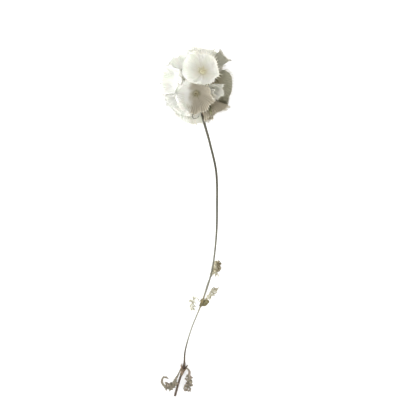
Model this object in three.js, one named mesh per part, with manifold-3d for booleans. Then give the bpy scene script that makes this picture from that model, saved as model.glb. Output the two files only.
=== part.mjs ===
// A dried scabiosa (starflower) on its cut stem, lying on a table.
//
// The globe is a seed head: papery cups, the dry collars of its fruits, stand on a small core, each in
// its own share of the globe. A cup of a higher layer folds its rim out over one of a lower layer.
// A star of stiff bristles sits in each cup. Under the globe, bracts hang round the top of the stem,
// and the stem carries two pairs of cut leaves and a side stalk with a young head.
//
// Millimetres. +Z is up from the table, +Y runs along the stem to the globe, +X is across it.
// The origin is on the table, at the middle of the flower's length and width.

import * as THREE from "three";
import { mergeVertices } from "three/addons/utils/BufferGeometryUtils.js";
import Module from "manifold-3d";

const wasm = await Module();
wasm.setup();

// ---- Driving dimensions -------------------------------------------------------------------------

const GAP = 0.3; // between neighbouring pieces
const BLADE = 0.6; // thickness of leaves and bracts

// The globe
const HEAD_CENTRE = new THREE.Vector3(0, 75.6, 18.3);
const CORE_RADIUS = 5.2;
const FOOT_TRIM = 0.35; // how much the table flattens the rim that the globe rests on

const CUP_WALL = 0.7;
const CUP_ROOT = 1.5; // how deep a cup's foot is sunk into the core
const CUP_THROAT = 1.35; // radius at the bottom of a cup
const CUP_FLOOR = 9.4; // from the globe's centre to the bottom of a cup in the lowest layer
const RIM_REACH = 18.4; // from the globe's centre to the rims of the lowest layer
const LAYER_STEP = 1.15; // how much further out each layer of cups stands
const RIM_WAVE = 0.7; // height of the waves in a rim
const RIM_TOOTH = 0.3; // height of its teeth above and below their middle
const CUP_OVAL = 0.07; // how far the most oval cup is from round, as a share of its radius

const WALL_CLEARANCE = 0.65; // from the middle of a cup's wall to the border with its neighbour
const LAYER_ADVANTAGE = 0.055; // how far a border moves away from a cup for each layer it is higher
const SIZE_ADVANTAGE = 0.02; // and for each mm that its rim is larger
const FOLD_OVER = 2.3; // how far a rim leans out over a neighbour of a lower layer
const SPILL = 0.3; // how much of what the border takes from a wall moves it outwards instead
const SOFTNESS = 0.45; // how gently a wall bends where a neighbour presses on it

// Each cup's place on the globe, as degrees of latitude above the globe's waist and degrees round it
// from +Z towards +X, with the radius of its rim, its layer, and how much further out it has grown.
// lean is how far its rim has moved sideways over its bottom, round the globe and along it, and an
// even rim has no waves.
// The cups that face up come first, then those on the +X side, the crown, the one that the globe
// rests on, and the rest of the underside.
const CUPS = [
  { lat: 27, round: 14, rim: 10.3, layer: 3, grown: -0.6, lean: [-3.8, -1.9] },
  { lat: -33, round: -4, rim: 10.4, layer: 2, grown: -0.6, lean: [-1.2, 1.2] },
  { lat: 4, round: -60, rim: 11.0, layer: 1, grown: 0.8, lean: [1.5, -0.8] },
  { lat: 44, round: -49, rim: 10.0, layer: 1, grown: -1.0 },
  { lat: -42, round: -56, rim: 10.0, layer: 1, grown: -0.1 },
  { lat: -17, round: 33, rim: 5.1, layer: 1, grown: 0 },
  { lat: -2, round: 111, rim: 12.0, layer: 2, grown: -0.5, lean: [0, -3.4], even: true },
  { lat: 50, round: 96, rim: 5.6, layer: 0, grown: 3.2, lean: [0, -0.8], even: true },
  { lat: -60, round: 94, rim: 8.4, layer: 1, grown: 2.2 },
  { lat: 76, round: 155, rim: 8.8, layer: 2, grown: -0.6 },
  { lat: 0, round: 180, rim: 9.6, layer: 2, foot: true },
  { lat: 40, round: 213, rim: 9.4, layer: 0, grown: 0 },
  { lat: 35, round: 148, rim: 9.6, layer: 1, grown: 0 },
  { lat: 20, round: 256, rim: 9.2, layer: 1, grown: 0 },
  { lat: -18, round: 252, rim: 9.4, layer: 1, grown: 0 },
  { lat: -16, round: 214, rim: 8.8, layer: 0, grown: 0 },
  { lat: -62, round: 206, rim: 9.6, layer: 2, grown: 2.0 },
  { lat: -46, round: 250, rim: 9.0, layer: 1, grown: 0.6 },
  { lat: -42, round: 138, rim: 9.2, layer: 0, grown: 0.4 },
];
const CUP_SIDES = 16;
const CUP_STEPS = 4; // from its bottom to its rim

const STAR_RAYS = 5;
const STAR_LENGTH = 3.2;
const STAR_THICKNESS = 0.42;
const STAR_LEAN = 40; // degrees from the cup's axis

// The stem, from the socket in the core to the cut end, and the side stalk from its upper node
const STEM_ROUTE = [
  [0.55, 71.2, 18.3],
  [2.1, 60.2, 17.9],
  [6.9, 42.4, 16.0],
  [10.2, 27.4, 14.2],
  [10.7, 9.1, 12.0],
  [10.3, -8.1, 9.9],
  [7.8, -27.6, 7.6],
  [2.4, -44.8, 5.6],
  [-3.4, -59.4, 4.0],
  [-6.9, -72.0, 2.6],
  [-7.6, -80.6, 1.7],
  [-10.2, -88.4, 1.0],
  [-12.6, -97.0, 0.68],
];
const STEM_RADII = [[71, 0.72], [-5, 0.6], [-49, 0.45], [-66, 0.45], [-97, 0.66]]; // [y, radius]
const NODES_Y = [-44.8, -80.6]; // where leaves grow
const NODE_SWELLING = 0.4; // extra radius there
const NODE_LENGTH = 1.8;

const SIDE_ROUTE = [
  [2.6, -44.4, 5.2],
  [4.4, -38.6, 3.6],
  [6.0, -33.6, 3.2],
  [7.7, -30.2, 3.2],
  [9.7, -28.0, 3.5],
];
const SIDE_RADIUS = 0.36;

// The bracts round the stem's top, measured from the globe's centre along the stem
const BRACTS = 9;
const BRACT_FOOT = 6.3;
const BRACT_LENGTHS = [9.5, 13.0];
const BRACT_SPREAD = 0.16; // how far a bract moves away from the stem for each mm of its length
const BRACT_WIDTH = 1.85;
const COLLAR_RADIUS = 1.55;
const COLLAR_LENGTH = 1.6;
const BRACT_ROOM = { from: 5.4, to: 20.5, narrow: 1.9, wide: 4.6 }; // a cone with no cup in it
const CUPS_CONE = 16; // degrees round the stem that the rims leave free

// Each leaf's middle line from the stem to its tip, its lobes on each side, and the longest lobe
const LEAVES = {
  leaf_upper_left: {
    rib: [[1.2, -44.5, 6.0], [-0.6, -41.8, 7.2], [-2.4, -43.6, 6.8], [-2.8, -49.4, 4.6]],
    lobes: 4,
    reach: 2.2,
  },
  leaf_upper_right: {
    rib: [[3.1, -43.2, 5.8], [5.8, -42.2, 7.2], [8.2, -39.8, 7.2], [9.6, -36.6, 5.6]],
    lobes: 4,
    reach: 2.0,
  },
  leaf_lower_left: {
    rib: [
      [-9.0, -81.4, 2.2],
      [-11.6, -86.4, 4.2],
      [-14.4, -91.4, 3.8],
      [-17.6, -91.4, 2.8],
      [-18.2, -87.4, 2.0],
    ],
    lobes: 5,
    reach: 2.7,
  },
  leaf_lower_right: {
    rib: [[-6.4, -80.9, 2.2], [-4.7, -82.4, 4.2], [-4.7, -87.6, 4.0], [-5.9, -94.0, 1.6]],
    lobes: 5,
    reach: 2.7,
  },
};
const RIB_RADIUS = 0.42;
const LOBE_WIDTH = 0.75; // at its root
const LOBE_LEAN = 0.7; // towards the leaf's tip, for each mm sideways
const LOBES_FROM = 0.2; // where the lobes start and end, as shares of the leaf's length
const LOBES_TO = 0.97;
const LEAF_CURL = 0.25; // lift of a lobe's tip for each square mm of its length, at most

// The young head on the side stalk
const YOUNG_CENTRE = new THREE.Vector3(10.5, -25.2, 3.6);
const YOUNG_RADIUS = 1.7;
const YOUNG_LENGTH = 7.2;
const YOUNG_CUPS = { count: 20, mouth: 0.85, throat: 0.45, length: 1.5 };
const YOUNG_BRACTS = 6;
const YOUNG_BRACT_RIB = [[0.7, -2.9], [1.7, -3.5], [2.5, -4.2], [2.9, -5.2]]; // [out, up]

// ---- Small helpers ------------------------------------------------------------------------------

const radians = THREE.MathUtils.degToRad;
const GOLDEN_ANGLE = radians(137.5);
const Y_AXIS = new THREE.Vector3(0, 1, 0);

// A number from 0 to 1 that looks random and is the same in every run.
function chance(index, salt) {
  const x = Math.sin(index * 12.9898 + salt * 78.233) * 43758.5453;
  return x - Math.floor(x);
}

// Follows x while x is well above floor, and levels off at floor below it.
function keepAbove(x, floor, softness) {
  const d = (x - floor) / softness;
  return d > 30 ? x : floor + softness * Math.log1p(Math.exp(d));
}

function vector(point) {
  return new THREE.Vector3(...point);
}

// Two directions square to an axis and to each other.
function sidesOf(axis) {
  const helper = Math.abs(axis.y) > 0.9 ? new THREE.Vector3(0, 0, 1) : Y_AXIS;
  const across = new THREE.Vector3().crossVectors(helper, axis).normalize();
  return [across, new THREE.Vector3().crossVectors(axis, across)];
}

// The point at an angle on a circle.
function onCircle(middle, across, along, radius, angle) {
  return middle
    .clone()
    .addScaledVector(across, radius * Math.cos(angle))
    .addScaledVector(along, radius * Math.sin(angle));
}

// Turns a geometry's +Y to a direction and moves its origin to a point.
function stand(geometry, direction, point) {
  return geometry
    .applyQuaternion(new THREE.Quaternion().setFromUnitVectors(Y_AXIS, direction))
    .translate(point.x, point.y, point.z);
}

function listOf(count, make) {
  return Array.from({ length: count }, (_, index) => make(index));
}

// A closed geometry as a solid that can be joined and cut.
function solidFrom(geometry) {
  const bare = geometry.clone();
  bare.deleteAttribute("normal");
  bare.deleteAttribute("uv");
  const merged = mergeVertices(bare, 1e-4);
  return new wasm.Manifold(
    new wasm.Mesh({
      numProp: 3,
      vertProperties: new Float32Array(merged.attributes.position.array),
      triVerts: new Uint32Array(merged.index.array),
    }),
  );
}

function geometryFrom(solid) {
  const mesh = solid.getMesh();
  const geometry = new THREE.BufferGeometry();
  geometry.setAttribute("position", new THREE.BufferAttribute(mesh.vertProperties, 3));
  geometry.setIndex(new THREE.BufferAttribute(mesh.triVerts, 1));
  geometry.computeVertexNormals();
  return geometry;
}

// The largest body of a solid, without loose scraps.
function mainBody(solid) {
  return solid.decompose().sort((a, b) => b.volume() - a.volume())[0];
}

// A closed skin over rings of points. Each end is closed by a fan round the ring's middle.
function skinOver(rings) {
  const around = rings[0].length;
  const points = rings.flat();
  const faces = [];
  for (let k = 0; k + 1 < rings.length; k++)
    for (let i = 0; i < around; i++) {
      const a = k * around + i;
      const b = k * around + ((i + 1) % around);
      faces.push(a, b, b + around, a, b + around, a + around);
    }
  for (const [k, turned] of [[0, true], [rings.length - 1, false]]) {
    const middle = points.length;
    points.push(rings[k].reduce((sum, p) => sum.add(p), new THREE.Vector3()).divideScalar(around));
    for (let i = 0; i < around; i++) {
      const a = k * around + i;
      const b = k * around + ((i + 1) % around);
      faces.push(...(turned ? [b, a, middle] : [a, b, middle]));
    }
  }
  const geometry = new THREE.BufferGeometry().setFromPoints(points);
  geometry.setIndex(faces);
  return geometry;
}

function curveThrough(route) {
  return new THREE.CatmullRomCurve3(route.map(vector), false, "centripetal");
}

// A tube along a curve whose radius changes along its length.
function taperedTube(curve, radiusAt, sides, steps) {
  const frames = curve.computeFrenetFrames(steps, false);
  const rings = listOf(steps + 1, (k) => {
    const middle = curve.getPointAt(k / steps);
    const radius = radiusAt(middle, k / steps);
    return listOf(sides, (i) =>
      onCircle(middle, frames.normals[k], frames.binormals[k], radius, (2 * Math.PI * i) / sides),
    );
  });
  return skinOver(rings);
}

// A flat-edged blade along a list of middle points, as wide as width says at each share of it.
function bladeAlong(points, across, width) {
  const last = points.length - 1;
  const rings = points.map((point, k) => {
    const ahead = points[Math.min(k + 1, last)].clone().sub(points[Math.max(k - 1, 0)]);
    const up = new THREE.Vector3().crossVectors(ahead, across).normalize();
    const corner = (side, face) =>
      point
        .clone()
        .addScaledVector(across, (side * width(k / last)) / 2)
        .addScaledVector(up, (face * BLADE) / 2);
    return [corner(-1, -1), corner(1, -1), corner(1, 1), corner(-1, 1)];
  });
  return skinOver(rings);
}

// ---- The stem and its side stalk ----------------------------------------------------------------

const stemCurve = curveThrough(STEM_ROUTE);
const stemAxis = vector(STEM_ROUTE[1]).sub(vector(STEM_ROUTE[0])).normalize();

// A point on the line of the stem's top, this far below the globe's centre.
function downStem(distance) {
  return HEAD_CENTRE.clone().addScaledVector(stemAxis, distance);
}

function stemRadius(point) {
  const next = STEM_RADII.findIndex(([y]) => y < point.y);
  const [from, to] = [STEM_RADII[Math.max(next - 1, 0)], STEM_RADII.at(next)];
  const share = THREE.MathUtils.clamp((point.y - from[0]) / (to[0] - from[0] || 1), 0, 1);
  const swellings = NODES_Y.map((y) => NODE_SWELLING * Math.exp(-(((point.y - y) / NODE_LENGTH) ** 2)));
  return THREE.MathUtils.lerp(from[1], to[1], share) + swellings[0] + swellings[1];
}

function stemSolid(extra = 0) {
  return solidFrom(taperedTube(stemCurve, (point) => stemRadius(point) + extra, 8, 76));
}

function sideStalkSolid(extra = 0) {
  return solidFrom(taperedTube(curveThrough(SIDE_ROUTE), () => SIDE_RADIUS + extra, 6, 14));
}

// What is left of a solid beside the stem and the side stalk, with the gap between pieces.
function clearOfStem(solid) {
  return mainBody(solid.subtract(stemSolid(GAP)).subtract(sideStalkSolid(GAP)));
}

// ---- The papery cups ----------------------------------------------------------------------------

const cups = CUPS.map((cup, index) => {
  const [lat, round] = [radians(cup.lat), radians(cup.round)];
  const axis = new THREE.Vector3(
    Math.cos(lat) * Math.sin(round),
    Math.sin(lat),
    Math.cos(lat) * Math.cos(round),
  );
  const [across, along] = sidesOf(axis);
  const layerReach = RIM_REACH + LAYER_STEP * cup.layer;
  const reach = cup.foot ? Math.hypot(HEAD_CENTRE.z + FOOT_TRIM, cup.rim) : layerReach + cup.grown;
  return {
    ...cup,
    axis,
    across,
    along,
    reach,
    floor: CUP_FLOOR + LAYER_STEP * cup.layer + (reach - layerReach),
    wave: cup.foot || cup.even ? 0 : RIM_WAVE,
    tooth: cup.foot ? 0 : RIM_TOOTH,
    lobes: 3 + Math.floor(3 * chance(index, 1)),
    turn: 2 * Math.PI * chance(index, 2),
    oval: CUP_OVAL * chance(index, 3),
    lean: cup.lean ?? [0, 0],
    starTurn: 2 * Math.PI * chance(index, 4),
  };
});

// Pushes a point of one cup back over the border with a neighbour, and outwards by a share of the push.
function keepInShare(point, cup, neighbour) {
  const higher = LAYER_ADVANTAGE * (cup.layer - neighbour.layer);
  const larger = SIZE_ADVANTAGE * (cup.rim - neighbour.rim);
  const border = cup.axis.clone().addScaledVector(neighbour.axis, higher + larger - 1).normalize();
  const above = THREE.MathUtils.smoothstep(point.length() - neighbour.reach, 0.1, 0.9);
  const fold = cup.layer > neighbour.layer ? FOLD_OVER * above : 0;
  const inside = point.dot(border);
  const push = keepAbove(inside, WALL_CLEARANCE - fold, SOFTNESS) - inside;
  const outwards = point.clone().normalize();
  point.addScaledVector(border, push).addScaledVector(outwards, SPILL * push);
}

// Keeps the room round the top of the stem free for the bracts.
function keepOffStem(point) {
  const down = point.dot(stemAxis);
  if (down <= 0) return;
  const sideways = point.clone().addScaledVector(stemAxis, -down);
  const distance = sideways.length();
  const wanted = keepAbove(distance, down * Math.tan(radians(CUPS_CONE)), SOFTNESS);
  point.addScaledVector(sideways, (wanted - distance) / Math.max(distance, 1e-6));
}

// Holds a point within a cup's reach.
function keepWithinReach(point, cup) {
  const length = point.length();
  point.multiplyScalar((cup.reach - keepAbove(cup.reach - length, 0, SOFTNESS)) / length);
}

// A point in the middle of a cup's wall, seen from the globe's centre. share runs from the cup's
// bottom at 0 to its rim at 1, and angle goes round it. The wall is half a cone and half a bowl.
function cupPoint(cup, share, angle, tooth) {
  const bowl = (Math.PI / 2) * share;
  const depth = Math.sqrt(cup.reach ** 2 - cup.rim ** 2) - cup.floor;
  const wave = cup.wave * share ** 2 * Math.sin(cup.lobes * angle + cup.turn);
  const height = cup.floor + depth * (0.55 * (1 - Math.cos(bowl)) + 0.45 * share) + wave + tooth;
  const ripple = 1 + cup.oval * share * Math.sin(2 * (angle + cup.turn));
  const radius = (CUP_THROAT + (cup.rim - CUP_THROAT) * 0.5 * (Math.sin(bowl) + share)) * ripple;
  const middle = cup.axis
    .clone()
    .multiplyScalar(height)
    .addScaledVector(cup.across, cup.lean[0] * share ** 2)
    .addScaledVector(cup.along, cup.lean[1] * share ** 2);
  const point = onCircle(middle, cup.across, cup.along, radius, angle);
  const near = cups.filter((other) => other !== cup && other.axis.dot(cup.axis) > 0.25);
  for (let pass = 0; pass < 2; pass++)
    for (const neighbour of near) keepInShare(point, cup, neighbour);
  keepOffStem(point);
  keepWithinReach(point, cup);
  return point;
}

// One papery cup with the short fruit below it, which is rooted in the core.
function cupSolid(cup) {
  const middle = listOf(CUP_STEPS + 1, (k) =>
    listOf(CUP_SIDES, (i) => {
      const tooth = k < CUP_STEPS ? 0 : cup.tooth * (i % 2 ? 1 : -1);
      return cupPoint(cup, k / CUP_STEPS, (2 * Math.PI * i) / CUP_SIDES, tooth);
    }),
  );
  const offset = (k, i, distance) => {
    const before = middle[k][(i + CUP_SIDES - 1) % CUP_SIDES];
    const round = middle[k][(i + 1) % CUP_SIDES].clone().sub(before);
    const up = middle[Math.min(k + 1, CUP_STEPS)][i].clone().sub(middle[Math.max(k - 1, 0)][i]);
    return middle[k][i].clone().addScaledVector(round.cross(up).normalize(), distance);
  };
  const wall = (distance) => middle.map((ring, k) => ring.map((_, i) => offset(k, i, distance)));
  const outer = wall(CUP_WALL / 2);
  const inner = wall(-CUP_WALL / 2).reverse();
  const toCore = CORE_RADIUS - CUP_ROOT - cup.floor;
  const root = outer[0].map((point) => point.clone().addScaledVector(cup.axis, toCore));
  return solidFrom(skinOver([root, ...outer, ...inner]));
}

// The star of stiff bristles on the floor of a cup.
function starSolids(cup) {
  const lean = radians(STAR_LEAN);
  const foot = cup.axis.clone().multiplyScalar(cup.floor - 0.1);
  const upright = cup.axis.clone().multiplyScalar(Math.cos(lean));
  return listOf(STAR_RAYS, (ray) => {
    const angle = cup.starTurn + (2 * Math.PI * ray) / STAR_RAYS;
    const direction = onCircle(upright, cup.across, cup.along, Math.sin(lean), angle);
    const bristle = new THREE.ConeGeometry(STAR_THICKNESS, STAR_LENGTH, 3);
    bristle.translate(0, STAR_LENGTH / 2, 0);
    return solidFrom(stand(bristle, direction, foot));
  });
}

function seedHeadSolid() {
  const core = solidFrom(new THREE.IcosahedronGeometry(CORE_RADIUS, 2));
  const pieces = [core, ...cups.map(cupSolid), ...cups.flatMap(starSolids)];
  const head = wasm.Manifold.union(pieces).translate(HEAD_CENTRE.toArray());
  const { from, to, narrow, wide } = BRACT_ROOM;
  const room = new THREE.CylinderGeometry(wide, narrow, to - from, 12);
  stand(room, stemAxis, downStem((from + to) / 2));
  const table = new THREE.BoxGeometry(80, 80, 20).translate(HEAD_CENTRE.x, HEAD_CENTRE.y, -10);
  return clearOfStem(head.subtract(solidFrom(room)).subtract(solidFrom(table)));
}

// ---- The bracts under the globe -----------------------------------------------------------------

function bractSolid(index) {
  const [across, along] = sidesOf(stemAxis);
  const angle = (2 * Math.PI * (index + 0.3 * chance(index, 5))) / BRACTS;
  const outwards = onCircle(new THREE.Vector3(), across, along, 1, angle);
  const sideways = new THREE.Vector3().crossVectors(stemAxis, outwards);
  const length = THREE.MathUtils.lerp(...BRACT_LENGTHS, chance(index, 6));
  const points = [0, 0.3, 0.6, 0.85, 1].map((share) => {
    const curl = 0.8 * share ** 3 * (chance(index, 7) - 0.3);
    const out = COLLAR_RADIUS - BLADE / 2 + BRACT_SPREAD * length * share + curl;
    return downStem(BRACT_FOOT + length * share).addScaledVector(outwards, out);
  });
  const width = (share) => BRACT_WIDTH * Math.sqrt(1 - 0.96 * share ** 2);
  return solidFrom(bladeAlong(points, sideways, width));
}

function involucreSolid() {
  const collar = new THREE.CylinderGeometry(COLLAR_RADIUS, COLLAR_RADIUS, COLLAR_LENGTH, 12);
  stand(collar, stemAxis, downStem(BRACT_FOOT));
  return clearOfStem(wasm.Manifold.union([solidFrom(collar), ...listOf(BRACTS, bractSolid)]));
}

// ---- The leaves ---------------------------------------------------------------------------------

// A lobe of a cut leaf: a narrow blade that leaves the rib sideways, leans towards the leaf's tip and
// curls. The middle lobes are the longest.
function lobeSolid(curve, { lobes, reach }, k, side) {
  const share = LOBES_FROM + ((LOBES_TO - LOBES_FROM) * (k + 0.5)) / lobes;
  const root = curve.getPointAt(share);
  const ahead = curve.getTangentAt(share);
  const across = new THREE.Vector3(-ahead.y, ahead.x, 0).normalize().multiplyScalar(side);
  const up = new THREE.Vector3().crossVectors(ahead, across).normalize().multiplyScalar(side);
  const outwards = across.addScaledVector(ahead, LOBE_LEAN).normalize();
  const sideways = new THREE.Vector3().crossVectors(up, outwards);
  const length = reach * (0.55 + 0.45 * Math.sin((Math.PI * (k + 0.9)) / (lobes + 0.6)));
  const curl = LEAF_CURL * (chance(k + 10 * lobes, 8 + side) - 0.25);
  const points = [0, 0.65, 1].map((s) =>
    root.clone().addScaledVector(outwards, s * length).addScaledVector(up, curl * (s * length) ** 2),
  );
  return solidFrom(bladeAlong(points, sideways, (s) => LOBE_WIDTH * (1 + s - 1.7 * s ** 3)));
}

// A leaf: a stiff rib with its lobes on both sides.
function leafSolid(leaf) {
  const curve = curveThrough(leaf.rib);
  const radiusAt = (_, share) => THREE.MathUtils.lerp(RIB_RADIUS, 0.7 * RIB_RADIUS, share);
  const lobes = [1, -1].flatMap((side) => listOf(leaf.lobes, (k) => lobeSolid(curve, leaf, k, side)));
  return clearOfStem(wasm.Manifold.union([solidFrom(taperedTube(curve, radiusAt, 4, 8)), ...lobes]));
}

// ---- The young head on the side stalk -----------------------------------------------------------

const youngAxis = YOUNG_CENTRE.clone().sub(vector(SIDE_ROUTE.at(-1))).normalize();

// Small closed cups in a spiral over an egg-shaped core, which leaves its foot free for the bracts.
function youngCupSolid(index) {
  const { count, mouth, throat, length } = YOUNG_CUPS;
  const height = 1 - (1.75 * (index + 0.5)) / count;
  const round = index * GOLDEN_ANGLE;
  const wide = Math.sqrt(1 - height * height);
  const direction = new THREE.Vector3(wide * Math.cos(round), height, wide * Math.sin(round));
  const size = new THREE.Vector3(YOUNG_RADIUS, YOUNG_LENGTH / 2, YOUNG_RADIUS);
  const cup = new THREE.CylinderGeometry(mouth, throat, length, 6);
  stand(cup, direction, direction.clone().multiply(size));
  return solidFrom(stand(cup, youngAxis, YOUNG_CENTRE));
}

function youngBractSolid(index) {
  const round = (2 * Math.PI * (index + 0.5)) / YOUNG_BRACTS;
  const [x, z] = [Math.cos(round), Math.sin(round)];
  const points = YOUNG_BRACT_RIB.map(([out, up]) => new THREE.Vector3(out * x, up, out * z));
  const blade = bladeAlong(points, new THREE.Vector3(-z, 0, x), (share) => 1.3 - 0.9 * share);
  return solidFrom(stand(blade, youngAxis, YOUNG_CENTRE));
}

function youngHeadSolid() {
  const core = new THREE.IcosahedronGeometry(YOUNG_RADIUS, 1);
  core.scale(1, YOUNG_LENGTH / 2 / YOUNG_RADIUS, 1);
  const pieces = [
    solidFrom(stand(core, youngAxis, YOUNG_CENTRE)),
    ...listOf(YOUNG_CUPS.count, youngCupSolid),
    ...listOf(YOUNG_BRACTS, youngBractSolid),
  ];
  return clearOfStem(wasm.Manifold.union(pieces));
}

// ---- The flower ---------------------------------------------------------------------------------

const PAPER = { color: 0xf3efe2, roughness: 0.75, metalness: 0 };
const STRAW = { color: 0x8f8668, roughness: 0.8, metalness: 0 };
const BARK = { color: 0x6f6850, roughness: 0.7, metalness: 0 };
const DRY_LEAF = { color: 0xb9b8a2, roughness: 0.85, metalness: 0 };
const YOUNG = { color: 0x9a8c63, roughness: 0.85, metalness: 0 };

const flower = new THREE.Group();

function addPiece(name, solid, look) {
  const mesh = new THREE.Mesh(geometryFrom(solid), new THREE.MeshStandardMaterial(look));
  mesh.name = name;
  flower.add(mesh);
}

addPiece("seed_head", seedHeadSolid(), PAPER);
addPiece("involucre", involucreSolid(), STRAW);
addPiece("stem", mainBody(stemSolid().add(sideStalkSolid())), BARK);
for (const [name, leaf] of Object.entries(LEAVES)) addPiece(name, leafSolid(leaf), DRY_LEAF);
addPiece("young_head", youngHeadSolid(), YOUNG);

export default flower;
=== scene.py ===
# A dried scabiosa on its cut stem, lying on a table: a globe of papery cups, the bracts under it,
# the stem with its cut leaves, and the young head on the side stalk.
import math

import bpy
import numpy as np
from mathutils import Matrix, Vector, noise


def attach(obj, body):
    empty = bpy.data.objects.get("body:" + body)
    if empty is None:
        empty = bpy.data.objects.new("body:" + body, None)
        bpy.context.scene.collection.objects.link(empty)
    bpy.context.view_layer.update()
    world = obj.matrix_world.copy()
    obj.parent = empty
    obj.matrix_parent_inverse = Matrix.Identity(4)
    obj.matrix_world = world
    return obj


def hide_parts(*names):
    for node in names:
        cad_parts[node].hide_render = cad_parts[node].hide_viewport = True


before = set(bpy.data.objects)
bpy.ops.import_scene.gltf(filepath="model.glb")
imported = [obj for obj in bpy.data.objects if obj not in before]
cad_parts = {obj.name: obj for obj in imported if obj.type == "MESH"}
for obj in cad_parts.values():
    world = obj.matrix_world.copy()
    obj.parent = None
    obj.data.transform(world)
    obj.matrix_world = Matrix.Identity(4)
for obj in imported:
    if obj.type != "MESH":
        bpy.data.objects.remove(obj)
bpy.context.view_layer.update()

# ---- Camera, lamp and table ----
# The flower lies on a pale table. A wide soft lamp stands low on its -X side, and the room is pale.
# The camera hangs a metre above the table and looks straight down.
CAMERA_PLACE = (0.0014, 0.0119, 1.0)
CAMERA_LENS = 162.0  # mm, on a sensor 36 mm wide
GLOBE_CENTRE = Vector((0.0, 0.0756, 0.0183))
LAMP_WAY = Vector((-0.98, -0.17, 0.1))  # from the globe to the lamp
LAMP_DISTANCE = 0.8
LAMP_SIZE = 0.45
LAMP_POWER = 8.0
ROOM_LIGHT = 1.6
ROOM_SEEN = 1.0  # how bright the room looks behind the table
TABLE_SIZE = 4.0
TABLE_COLOUR = (0.9, 0.9, 0.9, 1.0)
TABLE_ROUGHNESS = 0.9

scene = bpy.context.scene
scene.view_settings.view_transform = "Standard"

bpy.ops.object.camera_add(location=CAMERA_PLACE, rotation=(0, 0, 0))
camera = bpy.context.object
camera.data.lens = CAMERA_LENS
scene.camera = camera

bpy.ops.object.light_add(
    type="AREA",
    location=GLOBE_CENTRE + LAMP_WAY.normalized() * LAMP_DISTANCE,
    rotation=LAMP_WAY.to_track_quat("Z", "Y").to_euler(),
)
lamp = bpy.context.object.data
lamp.size = LAMP_SIZE
lamp.energy = LAMP_POWER

scene.world = bpy.data.worlds.new("room")
scene.world.use_nodes = True
room = scene.world.node_tree
seen_by_camera = room.nodes.new("ShaderNodeLightPath").outputs["Is Camera Ray"]
brightness = room.nodes.new("ShaderNodeMapRange")
brightness.inputs["To Min"].default_value = ROOM_LIGHT
brightness.inputs["To Max"].default_value = ROOM_SEEN
room.links.new(seen_by_camera, brightness.inputs["Value"])
background = room.nodes["Background"].inputs
background["Color"].default_value = (1, 1, 1, 1)
room.links.new(brightness.outputs["Result"], background["Strength"])

bpy.ops.mesh.primitive_plane_add(size=TABLE_SIZE, location=(0, 0, 0))
table = bpy.context.object
table.name = "table"
table_finish = bpy.data.materials.new("pale_table")
table_finish.use_nodes = True
table_top = table_finish.node_tree.nodes["Principled BSDF"].inputs
table_top["Base Color"].default_value = TABLE_COLOUR
table_top["Roughness"].default_value = TABLE_ROUGHNESS
table.data.materials.append(table_finish)

# ---- The papery cups ----
# Each cup is the dry collar of one fruit: a thin membrane pleated over fine ribs, whose tips stand
# out as a fringe. The cups press on each other, and a cup that stands higher folds its rim out over
# a lower one. One cup is modelled, and each copy is pressed into its share of the globe.
MM = 0.001  # all sizes from here on are in mm
RIM_REACH = 18.4  # from the globe's centre to the rims of the lowest layer
LAYER_STEP = 1.15
CUP_DEPTH = 9.0  # how much nearer to the globe's centre a cup's bottom is than its rim
CUP_THROAT = 1.35
BOWL_SHARE = 0.55  # how much of a wall's rise is a bowl's, and the rest a funnel's
RIM_WAVE = 0.7
CUP_OVAL = 0.07
FOOT_TRIM = 0.35
WALL_CLEARANCE = 0.2  # from the middle of a wall to the border with its neighbour
LAYER_ADVANTAGE = 0.055  # how far a border moves away from a cup for each layer it is higher
SIZE_ADVANTAGE = 0.02  # and for each mm that its rim is larger
FOLD_OVER = 2.3  # how far a rim leans out over a neighbour of a lower layer
FOLD_START = 0.1  # how far above that neighbour's rim the lean starts
FOLD_LENGTH = 0.8  # and over what height it grows
SPILL = 0.3  # how much of what the border takes from a wall moves it outwards instead
SOFTNESS = 0.45  # how gently a wall gives way
NEAR = 0.25  # the cosine between the axes of two cups that still press on each other
PRESSES = 2  # how often each of them does
CUPS_CONE = math.radians(16)  # round the stem, which the rims leave free
STEM_TOP_WAY = Vector((1.55, -11.0, -0.4)).normalized()  # from the globe down the stem
CUPS = [  # degrees of latitude, degrees round from +Z towards +X, rim radius, layer, extra growth
    (27, 14, 10.3, 3, -0.6), (-33, -4, 10.4, 2, -0.6), (4, -60, 11.0, 1, 0.8),
    (44, -49, 10.0, 1, -1.0), (-42, -56, 10.0, 1, -0.1), (-17, 33, 5.1, 1, 0),
    (-2, 111, 12.0, 2, -0.5), (50, 96, 5.6, 0, 3.2), (-60, 94, 8.4, 1, 2.2),
    (76, 155, 8.8, 2, -0.6), (0, 180, 9.6, 2, 0), (40, 213, 9.4, 0, 0),
    (35, 148, 9.6, 1, 0), (20, 256, 9.2, 1, 0), (-18, 252, 9.4, 1, 0),
    (-16, 214, 8.8, 0, 0), (-62, 206, 9.6, 2, 2.0), (-46, 250, 9.0, 1, 0.6),
    (-42, 138, 9.2, 0, 0.4),
]
FOOT = 10  # the cup that the globe rests on
EVEN_RIMS = (6, 7, FOOT)
# How far a rim has moved sideways over its throat, round the globe and along it
LEANS = {0: (-3.8, -1.9), 1: (-1.2, 1.2), 2: (1.5, -0.8), 6: (0, -3.4), 7: (0, -0.8)}

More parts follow.
